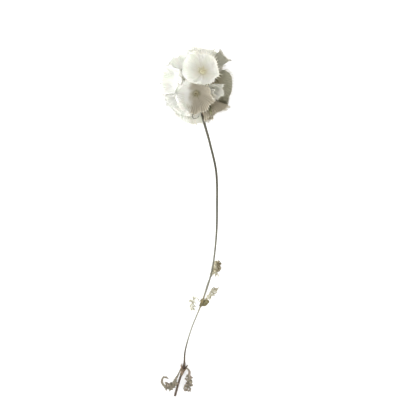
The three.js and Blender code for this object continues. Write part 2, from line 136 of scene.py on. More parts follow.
RIBS = 48
CUP_RINGS = 11  # from the throat to the rim
RIB_HALF_WIDTH = 0.13  # as a share of the way from rib to rib
RIB_HEIGHT = 0.22
PLEATS_START = 0.3  # the share of the wall over which the pleats grow to their full height
FRINGE = 1.7  # how far the ribs stand out past the membrane
FRINGE_STEPS = (0.08, 0.17, 0.75)  # what of that is membrane, the ribs' flanks and their tips
FRINGE_BENDS = {0: 2.8, 3: 2.0, 6: 1.6}  # how far their tips bend outwards
USUAL_BEND = 1.1
FRINGE_ROOM = 0.6  # how far the membrane ends below the rim's full reach
CRUMPLE = 1.2
WIDE_WAVES, FINE_WAVES = 0.16, 0.45  # how often the wall is crumpled in a mm
FINE_SHARE = 0.4
# How deep the wall is folded along its ribs, how often, how much of a fold runs out at the rim, and
# how far round the folds are turned
FOLDS = {0: (4.2, 3.0, 0.7, 2.4), 6: (0.7, 2.2, 0, 0), 7: (0.7, 2.2, 0, 0)}
USUAL_FOLDS = (2.0, 2.2, 0, 0)
TURN_STEP, SHARE_STEP = 0.02, 0.03  # round and down a wall, to find which way it faces
PAPER_THICKNESS = 0.12

# Part of this browning is painted shade: entries 1, 6, 7, 8 and 18, cups that lie in shade, are set
# high, and the lit cups are kept low.
AGES_AND_SHADE = {  # how far a cup's paper has browned with age, with painted shade added on the shaded cups. The rest get up to 0.5.
    0: 0.1, 1: 0.95, 2: 0.2, 3: 0.1, 4: 0.1, 5: 0.1, 6: 1.0, 7: 0.9, 8: 1.2, 9: 0.1,
    16: 0.2, 18: 1.4,
}
GREYED = (6, 7)  # the cups whose tan has turned a greenish grey
PAINTED_LIGHT_RANGE = (-5.4, -2.0)  # painted light along X: white before it, on the lamp's side, and a cup's own tint past it
PAINTED_LIGHT_EDGE = 1.6  # how ragged that edge is
PAPER_TINTS = (0.95, 0.955, 0.94), (0.91, 0.935, 0.875), (0.95, 0.925, 0.89)
TAN, GREY_TAN = (0.52, 0.475, 0.38), (0.5, 0.49, 0.4)
THROAT_TINTS = (0.76, 0.73, 0.6), (0.56, 0.51, 0.4)  # here and below, of a fresh cup and of an old one, which also stands for painted shade
RING_TINTS = (0.78, 0.75, 0.6), (0.4, 0.37, 0.25)
RIB_TINTS = (0.8, 0.77, 0.66), (0.6, 0.56, 0.46)
FRINGE_TINTS = (0.88, 0.86, 0.77), (0.72, 0.69, 0.59)
FURROW_SHADE = (0.62, 0.6, 0.52)


def chance(index, salt):
    """A number from 0 to 1 that looks random and is the same in every run."""
    x = math.sin(index * 12.9898 + salt * 78.233) * 43758.5453
    return x - math.floor(x)


def keep_above(x, floor):
    """Follows x while x is well above floor, and levels off at floor below it."""
    return floor + SOFTNESS * np.logaddexp(0.0, (x - floor) / SOFTNESS)


def unit(vectors):
    return vectors / np.maximum(np.linalg.norm(vectors, axis=-1, keepdims=True), 1e-9)


def sides_of(axis):
    """Two directions square to an axis and to each other."""
    helper = Vector((0, 0, 1)) if abs(axis.y) > 0.9 else Vector((0, 1, 0))
    across = helper.cross(axis).normalized()
    return np.array(across), np.array(axis.cross(across))


class Cup:
    """One cup's place and size, from the globe's centre."""

    def __init__(self, index, lat, around, rim, layer, grown):
        lat, around = math.radians(lat), math.radians(around)
        level = math.cos(lat)
        axis = Vector((level * math.sin(around), math.sin(lat), level * math.cos(around)))
        self.axis = np.array(axis)
        self.across, self.along = sides_of(axis)
        self.index, self.rim, self.layer = index, rim, layer
        self.reach = RIM_REACH + LAYER_STEP * layer + grown
        if index == FOOT:
            self.reach = math.hypot(GLOBE_CENTRE.z / MM + FOOT_TRIM, rim)
        self.floor = self.reach - CUP_DEPTH
        self.wave = 0.0 if index in EVEN_RIMS else RIM_WAVE
        self.lobes = 3 + math.floor(3 * chance(index, 1))
        self.turn = 2 * math.pi * chance(index, 2)
        self.oval = CUP_OVAL * chance(index, 3)
        self.star_turn = 2 * math.pi * chance(index, 4)
        self.age_and_shade = AGES_AND_SHADE.get(index, 0.5 * chance(index, 5))
        self.lean = LEANS.get(index, (0, 0))

    def free_wall(self, share, angle):
        """The wall before its neighbours press on it. share is 0 at the throat, 1 at the rim."""
        bowl = math.pi / 2 * share
        depth = math.sqrt(self.reach**2 - self.rim**2) - self.floor
        rise = depth * (BOWL_SHARE * (1 - np.cos(bowl)) + (1 - BOWL_SHARE) * share)
        wave = self.wave * share**2 * np.sin(self.lobes * angle + self.turn)
        ripple = 1 + self.oval * share * np.sin(2 * (angle + self.turn))
        radius = (CUP_THROAT + (self.rim - CUP_THROAT) * 0.5 * (np.sin(bowl) + share)) * ripple
        sideways = radius * np.cos(angle) + self.lean[0] * share**2
        lengthwise = radius * np.sin(angle) + self.lean[1] * share**2
        places = np.column_stack((self.floor + rise + wave, sideways, lengthwise))
        return places @ np.array((self.axis, self.across, self.along))


def kept_in_share(points, cup, other):
    """Pushes a wall back over the border with a neighbour, and outwards by a share of the push."""
    layers = cup.layer - other.layer
    advantage = LAYER_ADVANTAGE * layers + SIZE_ADVANTAGE * (cup.rim - other.rim)
    border = unit(cup.axis + other.axis * (advantage - 1))
    above = np.linalg.norm(points, axis=1) - other.reach - FOLD_START
    above = np.clip(above / FOLD_LENGTH, 0, 1)
    fold = FOLD_OVER * above * above * (3 - 2 * above) if layers > 0 else 0
    inside = points @ border
    push = (keep_above(inside, WALL_CLEARANCE - fold) - inside)[:, None]
    return points + push * (border + SPILL * unit(points))


def kept_off_stem(points):
    """Keeps the room round the top of the stem free for the bracts."""
    way = np.array(STEM_TOP_WAY)
    down = points @ way
    sideways = points - down[:, None] * way
    distance = np.linalg.norm(sideways, axis=1)
    wanted = keep_above(distance, np.maximum(down, 0) * math.tan(CUPS_CONE))
    push = np.where(down > 0, (wanted - distance) / np.maximum(distance, 1e-6), 0)
    return points + sideways * push[:, None]


def pressed_wall(cup, share, angle):
    """The wall of a cup among its neighbours."""
    points = cup.free_wall(share, angle)
    near = [other for other in cups if other is not cup and other.axis @ cup.axis > NEAR]
    for other in near * PRESSES:
        points = kept_in_share(points, cup, other)
    points = kept_off_stem(points)
    length = np.linalg.norm(points, axis=1)
    return points * ((cup.reach - keep_above(cup.reach - length, 0)) / length)[:, None]


cups = [Cup(index, *place) for index, place in enumerate(CUPS)]


def start_ring(sides, radius=1.0, fill="NOTHING"):
    """Starts a mesh as a ring or a disc at the origin, in edit mode and selected."""
    bpy.ops.object.select_all(action="DESELECT")
    bpy.ops.mesh.primitive_circle_add(vertices=sides, radius=radius, fill_type=fill)
    bpy.ops.object.mode_set(mode="EDIT")
    bpy.ops.mesh.select_all(action="SELECT")
    return bpy.context.object


def places_of(obj):
    return np.array([vertex.co for vertex in obj.data.vertices])


def select_where(obj, test):
    """In edit mode, selects the vertices whose places pass a test, and nothing else."""
    bpy.ops.object.mode_set(mode="EDIT")
    bpy.ops.mesh.select_mode(type="VERT")
    bpy.ops.mesh.select_all(action="DESELECT")
    bpy.ops.object.mode_set(mode="OBJECT")
    obj.data.vertices.foreach_set("select", test(places_of(obj)))
    bpy.ops.object.mode_set(mode="EDIT")


def from_line(places, lines=RIBS):
    """How far round places are from the nearest of so many lines, as a share of their spacing."""
    turns = np.arctan2(places[:, 1], places[:, 0]) / (2 * math.pi) * lines
    return turns - np.round(turns)


def on_line(places, lines=RIBS):
    return np.abs(from_line(places, lines)) < 0.01


def midway(places, lines=RIBS):
    return np.abs(from_line(places, lines)) > 0.4


def pull(obj, test, up=0.0, scale=1.0):
    """Moves the vertices that pass a test up, and towards or away from the upright axis."""
    select_where(obj, test)
    bpy.ops.transform.translate(value=(0, 0, up))
    bpy.ops.transform.resize(value=(scale, scale, 1), center_override=(0, 0, 0))


def raise_rings(steps):
    """Extrudes what is selected upwards. Each step is a height and how much wider it gets."""
    for up, wider in steps:
        bpy.ops.mesh.extrude_region_move(TRANSFORM_OT_translate={"value": (0, 0, up)})
        if wider != 1:
            bpy.ops.transform.resize(value=(wider, wider, 1), center_override=(0, 0, 0))


# The model cup is a straight tube. Its height is the share of the way from the throat to the rim,
# and what stands above 1 is the fringe. Its radius is 1, give or take how far the pleats stand out.
# Every fourth line of points is a rib, with a line close by on each side of it.
model_cup = start_ring(4 * RIBS)
for side in (-1, 1):
    select_where(model_cup, lambda at: np.abs(from_line(at) - side * 0.25) < 0.01)
    turn = side * (0.25 - RIB_HALF_WIDTH) * 2 * math.pi / RIBS
    bpy.ops.transform.rotate(value=turn, orient_axis="Z", center_override=(0, 0, 0))
pull(model_cup, on_line, scale=1 - RIB_HEIGHT)
pull(model_cup, midway, scale=1 + RIB_HEIGHT / 2)
bpy.ops.mesh.select_all(action="SELECT")
raise_rings([(1 / CUP_RINGS, 1)] * CUP_RINGS + [(FRINGE_STEPS[0], 1)])
for near_rib, up in ((0.2, FRINGE_STEPS[1]), (0.01, FRINGE_STEPS[2])):
    pull(model_cup, lambda at: (at[:, 2] > 1.01) & (np.abs(from_line(at)) < near_rib), up=up)
bpy.ops.object.mode_set(mode="OBJECT")


def select_only(pieces):
    """Selects pieces and nothing else, and makes the first one active."""
    bpy.ops.object.select_all(action="DESELECT")
    for piece in pieces:
        piece.select_set(True)
    bpy.context.view_layer.objects.active = pieces[0]


def copy_of(obj, name):
    """A copy with its own mesh, the only thing selected."""
    other = obj.copy()
    other.data = obj.data.copy()
    other.name = name
    scene.collection.objects.link(other)
    select_only([other])
    return other


def store(obj, name, values):
    """Keeps a value for each vertex, or one for all, for the materials to read."""
    attribute = obj.data.attributes.new(name, "FLOAT", "POINT")
    attribute.data.foreach_set("value", np.zeros(len(obj.data.vertices)) + values)


def noise_at(kind, points, scale, own):
    """Smooth noise at points. own moves it, so that no two pieces are alike."""
    return np.array([kind(Vector(point) * scale + own) for point in points])


def make_sheet(obj, places, thickness):
    """Moves a mesh to places in metres, above the table, and makes it a smooth wall."""
    places[:, 2] = np.maximum(places[:, 2], thickness * MM)
    obj.data.vertices.foreach_set("co", places.ravel())
    obj.data.update()
    wall = obj.modifiers.new("thickness", "SOLIDIFY")
    wall.thickness = thickness * MM
    wall.offset = 0
    bpy.ops.object.modifier_apply(modifier=wall.name)
    bpy.ops.object.shade_smooth()


def press_cup(obj, cup):
    """Gives a copy of the model cup its own shape and place on the globe."""
    model = places_of(obj)
    angle = np.arctan2(model[:, 1], model[:, 0])
    share = np.clip(model[:, 2], 0, 1)
    fringe = np.clip(model[:, 2] - 1, 0, None)
    wall = pressed_wall(cup, share, angle)
    ahead = pressed_wall(cup, share, angle + TURN_STEP) - wall
    up = unit(wall - pressed_wall(cup, share - SHARE_STEP, angle))
    outwards = unit(np.cross(ahead, up))
    pleat = (np.hypot(model[:, 0], model[:, 1]) - 1) * np.clip(share / PLEATS_START, 0, 1)
    own = Vector((7.0 * cup.index, 0, 0))
    wide = noise_at(noise.noise, wall, WIDE_WAVES, own)
    fine = noise_at(noise.noise, wall, FINE_WAVES, own)
    crumple = CRUMPLE * share**1.5 * (wide + FINE_SHARE * fine)
    depth, often, run_out, turned = FOLDS.get(cup.index, USUAL_FOLDS)
    circle = np.column_stack((np.cos(angle + turned), np.sin(angle + turned), 0 * angle))
    folds = depth * share * (1 - run_out * share) * noise_at(noise.noise, circle, often, own)
    bend = FRINGE_BENDS.get(cup.index, USUAL_BEND) * fringe
    out = pleat + crumple + folds + bend
    rise = FRINGE * fringe - FRINGE_ROOM * share**2
    points = wall + outwards * out[:, None] + up * rise[:, None]
    store(obj, "share", model[:, 2])
    store(obj, "rib", on_line(model))
    store(obj, "furrow", midway(model))
    store(obj, "age_and_shade", cup.age_and_shade)
    store(obj, "greyed", cup.index in GREYED)
    make_sheet(obj, points * MM + np.array(GLOBE_CENTRE), PAPER_THICKNESS)


def set_inputs(tree, node, values):
    """Gives a node's inputs a plain value, a colour of three numbers or another's output each."""
    for key, value in values.items():
        socket = node.inputs[key]
        if isinstance(value, bpy.types.NodeSocket):
            tree.links.new(value, socket)
        else:
            socket.default_value = (*value, 1.0) if socket.type == "RGBA" else value


def add_node(tree, kind, values=None, **settings):
    node = tree.nodes.new("ShaderNode" + kind)
    for name, setting in settings.items():
        setattr(node, name, setting)
    set_inputs(tree, node, values or {})
    return node


def calculated(tree, operation, first, second):
    return add_node(tree, "Math", {0: first, 1: second}, operation=operation).outputs[0]


def blended(tree, share, first, second, kind="MIX"):
    """A colour between two others, each a plain colour or an output."""
    values = {0: share, 6: first, 7: second}
    return add_node(tree, "Mix", values, data_type="RGBA", blend_type=kind).outputs[2]


def stored(tree, name):
    return add_node(tree, "Attribute", attribute_name=name).outputs["Fac"]


def placed(tree):
    """Where a point is, and its X."""
    place = add_node(tree, "TexCoord").outputs["Object"]
    return place, add_node(tree, "SeparateXYZ", {0: place}).outputs["X"]


def clouded(tree, place, scale, detail):
    values = {"Vector": place, "Scale": scale, "Detail": detail}
    return add_node(tree, "TexNoise", values).outputs["Fac"]


def remapped(tree, value, low, high, to_low=0.0, to_high=1.0):
    """Takes a value from one range to another, and stops at its ends."""
    values = dict(enumerate((value, low, high, to_low, to_high)))
    return add_node(tree, "MapRange", values).outputs["Result"]


# Cloudy patches in three colours, and a fine fibre relief. All the dry finishes share them.
FIBRES = 2600.0  # how often in a metre
SMALLER_PATCHES = 2.3  # how many of the small patches fit on a large one
patches = bpy.data.node_groups.new("patches", "ShaderNodeTree")
sockets = patches.interface
sockets.new_socket("Patch Size", in_out="INPUT", socket_type="NodeSocketFloat")
for name in ("Base", "Second", "Third"):
    sockets.new_socket(name, in_out="INPUT", socket_type="NodeSocketColor")
sockets.new_socket("Colour", in_out="OUTPUT", socket_type="NodeSocketColor")
sockets.new_socket("Relief", in_out="OUTPUT", socket_type="NodeSocketFloat")
given = patches.nodes.new("NodeGroupInput").outputs
place = placed(patches)[0]
often = calculated(patches, "DIVIDE", 1.0, given["Patch Size"])
large = remapped(patches, clouded(patches, place, often, 2.0), 0.42, 0.62)
moved = add_node(patches, "VectorMath", {0: place, 1: (0.31, 0.17, 0.05)}).outputs[0]
finer = calculated(patches, "MULTIPLY", often, SMALLER_PATCHES)
small = remapped(patches, clouded(patches, moved, finer, 3.0), 0.5, 0.68)
two = blended(patches, large, given["Base"], given["Second"])
put = patches.nodes.new("NodeGroupOutput").inputs
patches.links.new(blended(patches, small, two, given["Third"]), put["Colour"])
patches.links.new(clouded(patches, place, FIBRES, 3.0), put["Relief"])


def patched(tree, size, base, second, third):
    """The patches group in a material. Gives its colour and its relief."""
    values = {"Patch Size": size, "Base": base, "Second": second, "Third": third}
    group = add_node(tree, "Group", values, node_tree=patches)
    return group.outputs["Colour"], group.outputs["Relief"]


def new_finish(name, size, tints):
    """A new material with its node tree, and the colour and relief of its patches."""
    finish = bpy.data.materials.new(name)
    finish.use_nodes = True
    return finish, finish.node_tree, *patched(finish.node_tree, size, *tints)


# How much of its own tint a place keeps where painted light whitens the lamp's -X side of the
# globe. Cups, fruits and stars share it.
tint_past_painted_light = bpy.data.node_groups.new("tint_past_painted_light", "ShaderNodeTree")
tint_past_painted_light.interface.new_socket("Share", in_out="OUTPUT", socket_type="NodeSocketFloat")
place, across = placed(tint_past_painted_light)
edge_range = -PAINTED_LIGHT_EDGE * MM, PAINTED_LIGHT_EDGE * MM
ragged = remapped(tint_past_painted_light, clouded(tint_past_painted_light, place, 220.0, 2.0), 0.3, 0.7, *edge_range)
edge = calculated(tint_past_painted_light, "ADD", across, ragged)
share_past_painted_light = remapped(tint_past_painted_light, edge, PAINTED_LIGHT_RANGE[0] * MM, PAINTED_LIGHT_RANGE[1] * MM, 0.1, 1.0)
tint_past_painted_light.links.new(share_past_painted_light, tint_past_painted_light.nodes.new("NodeGroupOutput").inputs["Share"])


def under_painted_light(tree, value):
    """The share of a tint that is left where painted light whitens the lamp's side."""
    kept = add_node(tree, "Group", node_tree=tint_past_painted_light).outputs["Share"]
    return calculated(tree, "MULTIPLY", value, kept)


def finish_with(tree, tint, roughness, relief, depth, strength, through=0.0):
    """Gives a material its colour, its roughness, a relief of this depth, and, for a thin sheet,
    the share of the light that it lets through."""
    values = {"Height": relief, "Distance": depth * MM, "Strength": strength}
    normal = add_node(tree, "Bump", values).outputs["Normal"]
    shader = tree.nodes["Principled BSDF"]
    set_inputs(tree, shader, {"Base Color": tint, "Roughness": roughness, "Normal": normal})
    if through:
        sheet = add_node(tree, "BsdfTranslucent", {"Color": tint})
        values = {0: through, 1: shader.outputs[0], 2: sheet.outputs[0]}
        mix = add_node(tree, "MixShader", values)
        tree.links.new(mix.outputs[0], tree.nodes["Material Output"].inputs["Surface"])


# Bleached membrane, browner at the throat and in the older cups and those given painted shade. Its
# ribs and fringe are straw. Painted shade darkens the furrows between the ribs, and painted light
# whitens the lamp's side.
paper, tree, pale, relief = new_finish("papery_membrane", 0.006, PAPER_TINTS)
share, rib, age_and_shade = stored(tree, "share"), stored(tree, "rib"), under_painted_light(tree, stored(tree, "age_and_shade"))
tan = blended(tree, stored(tree, "greyed"), TAN, GREY_TAN)
tanned = blended(tree, age_and_shade, pale, tan)
spread = calculated(tree, "ADD", share, remapped(tree, relief, 0.3, 0.7, -0.04, 0.04))
throat_end = remapped(tree, age_and_shade, 0.0, 1.4, 0.4, 0.6)
throat_share = under_painted_light(tree, remapped(tree, spread, 0.04, throat_end, 0.7, 0.0))
throat = blended(tree, throat_share, tanned, blended(tree, age_and_shade, *THROAT_TINTS))
ring_share = under_painted_light(tree, remapped(tree, spread, 0.05, 0.16, 1.0, 0.0))
ringed = blended(tree, ring_share, throat, blended(tree, age_and_shade, *RING_TINTS))
# Painted shade in the furrows between the ribs, deeper towards the rim and in the browner cups.
furrow_shade_depth = remapped(tree, share, 0.15, 0.8, 0.1, 0.75)
furrow = calculated(tree, "MULTIPLY", stored(tree, "furrow"), furrow_shade_depth)
furrow_shade_share = calculated(tree, "MULTIPLY", furrow, remapped(tree, age_and_shade, 0.0, 1.0, 0.12, 1.0))
furrow_shaded = blended(tree, furrow_shade_share, ringed, FURROW_SHADE, "MULTIPLY")
rib_share = under_painted_light(tree, remapped(tree, rib, 0.0, 1.0, 0.0, 0.5))
ribbed = blended(tree, rib_share, furrow_shaded, blended(tree, age_and_shade, *RIB_TINTS))
fringe_share = under_painted_light(tree, remapped(tree, share, 0.98, 1.2, 0.0, 0.8))
final = blended(tree, fringe_share, ribbed, blended(tree, age_and_shade, *FRINGE_TINTS))
finish_with(tree, final, remapped(tree, relief, 0.3, 0.7, 0.55, 0.8), relief, 0.05, 0.5, 0.5)

for cup in cups:
    piece = copy_of(model_cup, f"cup_{cup.index + 1:02d}")
    press_cup(piece, cup)
    piece.data.materials.append(paper)
    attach(piece, "root")
    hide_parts("seed_head")
bpy.data.objects.remove(model_cup)

# ---- The core and the fruits ----
# The fruits grow on a small ball at the top of the stem, and each carries one cup. A fruit is a
# short brown tube with eight furrows, and its domed top closes the bottom of its cup.
CORE_RADIUS = 5.2
CORE_DIMPLES = 0.06
FRUIT_FOOT = 3.7  # from the globe's centre, inside the ball
FRUIT_FURROWS = 8
FURROW_DEPTH = 0.22  # as a share of its radius
FRUIT_STEPS = ((0.35, 1.25), (0.4, 1.15), (0.2, 1.2), (0.05, 0.75), (0.02, 0.45))  # up, and wider
FRUIT_RADIUS = 0.92  # at its foot
FRUIT_DOME = 0.9  # the height at which its top starts
HUSK_TINTS = (0.17, 0.14, 0.07), (0.12, 0.11, 0.05), (0.25, 0.2, 0.1)
TOP_TINTS = (0.76, 0.75, 0.55), (0.34, 0.3, 0.19)
# The colour that painted light on the lamp's side gives fruits and stars.
PAINTED_LIGHT_TINT = (0.9, 0.9, 0.84)


def stand_in_cup(obj, cup, foot, length=1.0):
    """Moves a piece from upright at the origin to the axis of a cup."""
    sides = np.column_stack((cup.across, cup.along, cup.axis * length, cup.axis * foot))
    place = Matrix(np.vstack((sides, (0, 0, 0, 1))).tolist())
    obj.data.transform(Matrix.Translation(GLOBE_CENTRE) @ Matrix.Scale(MM, 4) @ place)


def close_mesh():
    """Turns all faces of the mesh in edit mode outwards, and leaves it smooth."""
    bpy.ops.mesh.select_all(action="SELECT")
    bpy.ops.mesh.normals_make_consistent(inside=False)
    bpy.ops.object.mode_set(mode="OBJECT")
    bpy.ops.object.shade_smooth()


def join_pieces(pieces, name):
    """Joins pieces into the first one."""
    select_only(pieces)
    bpy.ops.object.join()
    pieces[0].name = name
    return pieces[0]


model_fruit = start_ring(4 * FRUIT_FURROWS, FRUIT_RADIUS, "TRIFAN")
pull(model_fruit, lambda at: on_line(at, FRUIT_FURROWS), scale=1 - FURROW_DEPTH)
bpy.ops.mesh.select_all(action="SELECT")
raise_rings(FRUIT_STEPS)
close_mesh()
store(model_fruit, "top", places_of(model_fruit)[:, 2] > FRUIT_DOME)

fruits = []
for cup in cups:
    fruit = copy_of(model_fruit, "fruit")
    stand_in_cup(fruit, cup, FRUIT_FOOT, cup.floor - FRUIT_FOOT)
    store(fruit, "age_and_shade", cup.age_and_shade)
    fruits.append(fruit)
bpy.data.objects.remove(model_fruit)

bpy.ops.object.select_all(action="DESELECT")
bpy.ops.mesh.primitive_ico_sphere_add(subdivisions=4, radius=CORE_RADIUS * MM, location=(0, 0, 0))
core = bpy.context.object
for vertex in core.data.vertices:
    dimple = CORE_DIMPLES * noise.noise(vertex.co / MM * 0.9)
    vertex.co = vertex.co * (1 + dimple) + GLOBE_CENTRE
bpy.ops.object.shade_smooth()

husk, tree, brown, relief = new_finish("fruit_husk", 0.003, HUSK_TINTS)
# The fruit tops are darker in the browner cups and in those given painted shade, and painted light
# pales them on the lamp's side.
top = blended(tree, stored(tree, "age_and_shade"), *TOP_TINTS)
topped = blended(tree, stored(tree, "top"), brown, top)
lightened = blended(tree, under_painted_light(tree, 1.0), PAINTED_LIGHT_TINT, topped)
finish_with(tree, lightened, 0.8, relief, 0.12, 0.8)

fruits = join_pieces([core, *fruits], "core_and_fruits")
fruits.data.materials.append(husk)
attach(fruits, "root")
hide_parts("seed_head")

# ---- The bristle stars ----
# On each fruit, in the bottom of its cup, stands a short stalk with five stiff bristles that spread
# out like a star. Each star is turned its own way.
STAR_RAYS = 5
BRISTLE_RADIUS = 0.25
BRISTLE_START = 0.15  # from the star's axis
BRISTLE_STEPS = (  # out, up, and narrower
    (0.35, 0.45, 0.8), (0.55, 0.55, 0.8), (0.7, 0.5, 0.75), (0.75, 0.35, 0.7), (0.6, 0.2, 0.3),
)
BRISTLE_TINTS = (0.66, 0.61, 0.4), (0.54, 0.48, 0.28), (0.42, 0.3, 0.2)
OLD_BRISTLE = (0.13, 0.11, 0.05)

model_star = start_ring(6, BRISTLE_RADIUS, "TRIFAN")
reach, height = BRISTLE_START, 0.0
bpy.ops.transform.translate(value=(reach, 0, height))
for out, up, narrower in BRISTLE_STEPS:
    reach, height = reach + out, height + up
    bpy.ops.mesh.extrude_region_move(TRANSFORM_OT_translate={"value": (out, 0, up)})
    bpy.ops.transform.resize(value=(narrower,) * 3, center_override=(reach, 0, height))
bpy.ops.mesh.select_all(action="SELECT")
ray_turn = 2 * math.pi / STAR_RAYS
for ray in range(1, STAR_RAYS):
    bpy.ops.mesh.duplicate()
    bpy.ops.transform.rotate(value=ray_turn, orient_axis="Z", center_override=(0, 0, 0))
close_mesh()

stars = []
for cup in cups:
    star = copy_of(model_star, "star")
    star.data.transform(Matrix.Rotation(cup.star_turn, 4, "Z"))
    stand_in_cup(star, cup, cup.floor)
    store(star, "age_and_shade", cup.age_and_shade)
    stars.append(star)
bpy.data.objects.remove(model_star)

bristle, tree, straw, relief = new_finish("bristle", 0.002, BRISTLE_TINTS)
# The stars are darker in the browner cups and in those given painted shade, and painted light pales
# them on the lamp's side.
age_and_shade_share = remapped(tree, stored(tree, "age_and_shade"), 0.0, 1.0, 0.0, 0.8)
aged_and_shaded = blended(tree, age_and_shade_share, straw, OLD_BRISTLE)
lightened = blended(tree, under_painted_light(tree, 1.0), PAINTED_LIGHT_TINT, aged_and_shaded)
finish_with(tree, lightened, 0.5, relief, 0.03, 0.5)

stars = join_pieces(stars, "bristle_stars")
stars.data.materials.append(bristle)
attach(stars, "root")
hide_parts("seed_head")

# ---- The bracts under the globe ----
# A ring of narrow green-brown bracts hangs round the top of the stem. Each is a thin keeled blade,
# as a leaf is, and has dried with its tip bent or curled back. Three reach out past the cups.
BRACTS = 9
BRACT_FOOT = 6.3  # from the globe's centre
BRACT_LENGTH, LONGER = 9.5, 3.5  # of the shortest, and how much more the longest has
BRACT_LEAN = math.atan(0.16)
BRACT_WIDTH = 1.9
BRACT_TINTS = (0.36, 0.34, 0.2), (0.28, 0.28, 0.15), (0.55, 0.5, 0.36)
BRACT_EDGE = (0.62, 0.58, 0.44)
COLLAR_RADIUS = 1.55
COLLAR_LENGTH = 1.6
BLADE_THICKNESS = 0.16
BLADE_ROWS = 16
BLADE_FOOT, BLADE_TIP = 0.62, 0.03  # how wide it starts and ends, as a share of its widest
TIP_ROUNDNESS = 3.2
WRINKLE_SEED = 7
WRINKLES = 0.7  # how often a blade is wrinkled in a mm
LONG_BRACTS = {  # their routes, widths, which way they lie across, and colours
    "bract_rolled": (
        ((1.0, 68.8, 18.9), (1.1, 63.5, 20.6), (0.9, 59.9, 21.4), (-1.0, 58.9, 21.6),
         (-2.6, 58.3, 21.4), (-2.8, 57.0, 21.2), (-1.5, 56.2, 21.0), (0.2, 56.7, 20.8),
         (0.7, 57.6, 20.7)),
        1.6, (0.2, 0.3, -1.0), ((0.11, 0.11, 0.06), (0.2, 0.19, 0.1), (0.4, 0.38, 0.24)),
    ),
    "bract_tan": (
        ((1.9, 68.7, 18.6), (2.7, 63.0, 20.4), (3.6, 59.2, 22.2), (4.6, 55.2, 24.4)),
        2.5, (1.0, 0.3, 0.0), ((0.6, 0.52, 0.41), (0.5, 0.43, 0.32), (0.3, 0.22, 0.13)),
    ),
    # A blade from the ring that lies up in the gap between the cups on the lower +X side, which is
    # in shade: its near-black olive is painted shade.
    "dark_bract_painted_shade": (
        ((2.2, 68.6, 18.8), (4.8, 64.2, 21.6), (6.4, 61.6, 25.6), (7.2, 59.4, 27.1),
         (7.6, 57.6, 27.2)),
        3.2, (1.0, 0.5, 0.2), ((0.15, 0.15, 0.08), (0.24, 0.24, 0.14), (0.09, 0.08, 0.04)),
    ),
}

noise.seed_set(WRINKLE_SEED)  # blades and sheaths wrinkle the same way in every run

# The model blade is flat. It is 2 wide at its widest, and 1 long.
bpy.ops.object.select_all(action="DESELECT")
bpy.ops.mesh.primitive_grid_add(x_subdivisions=4, y_subdivisions=BLADE_ROWS, size=1)
model_blade = bpy.context.object
bpy.ops.object.mode_set(mode="EDIT")
bpy.ops.mesh.select_all(action="SELECT")
bpy.ops.transform.resize(value=(2, 1, 1), center_override=(0, 0, 0))
bpy.ops.transform.translate(value=(0, 0.5, 0))
for row in range(BLADE_ROWS + 1):
    along = row / BLADE_ROWS
    wide = BLADE_FOOT + (1 - BLADE_FOOT) * math.sin(math.pi * min(1.0, along * 1.25))
    narrow = math.sqrt(1 - along**TIP_ROUNDNESS) * wide + BLADE_TIP
    select_where(model_blade, lambda at: np.abs(at[:, 1] - along) < 0.5 / BLADE_ROWS)
    bpy.ops.transform.resize(value=(narrow, 1, 1), center_override=(0, along, 0))
bpy.ops.object.mode_set(mode="OBJECT")


def points_on(path, steps, place):
    """Points at places on a path whose own points are at these steps."""
    return np.column_stack([np.interp(place, steps, path[:, k]) for k in range(3)])


def steps_of(path, power=1.0):
    """How far along a path each of its points is."""
    lengths = np.linalg.norm(np.diff(path, axis=0), axis=1)
    return np.concatenate(([0], np.cumsum(lengths**power)))


def laid_blade(name, path, sideways, width, keel, crumple, seed, foot=1.0):
    """A copy of the model blade, laid along a path. With None as its sideways direction, it lies
    flat. foot is how wide its first third starts, as a share."""
    blade = copy_of(model_blade, name)
    path = np.array(path)
    steps = np.linspace(0, 1, len(path))
    x, along = places_of(blade)[:, :2].T
    after, before = np.minimum(along + 0.04, 1), np.maximum(along - 0.04, 0)
    ahead = unit(points_on(path, steps, after) - points_on(path, steps, before))
    if sideways is None:
        sideways = np.cross(ahead, (0, 0, 1))
    else:
        sideways = np.asarray(sideways) - (ahead @ np.asarray(sideways))[:, None] * ahead
    sideways = unit(sideways)
    up = np.cross(sideways, ahead)
    middle = points_on(path, steps, along)
    flat = middle + x[:, None] * sideways
    wrinkle = noise_at(noise.noise_vector, flat, WRINKLES, Vector((0, 0, 3.1 * seed)))
    half = width / 2 * (foot + (1 - foot) * np.clip(along / 0.35, 0, 1) ** 2)
    points = middle + (half * x)[:, None] * sideways + (keel * np.abs(x))[:, None] * up
    points += crumple * along[:, None] ** 0.5 * wrinkle
    store(blade, "side", np.abs(x))
    make_sheet(blade, points * MM, BLADE_THICKNESS)
    return blade


def bent_path(start, ahead, outwards, length, lean, curl, power):
    """A path that leans from ahead towards outwards, and curls on, most at its end."""
    steps = 24
    points = [np.array(start, dtype=float)]
    for step in range(steps):
        angle = lean + curl * ((step + 0.5) / steps) ** power
        way = np.cos(angle) * ahead + np.sin(angle) * outwards
        points.append(points[-1] + way * length / steps)
    return points


def between(t, start, end, first, second):
    return first + (second - first) * (t - start) / (end - start)


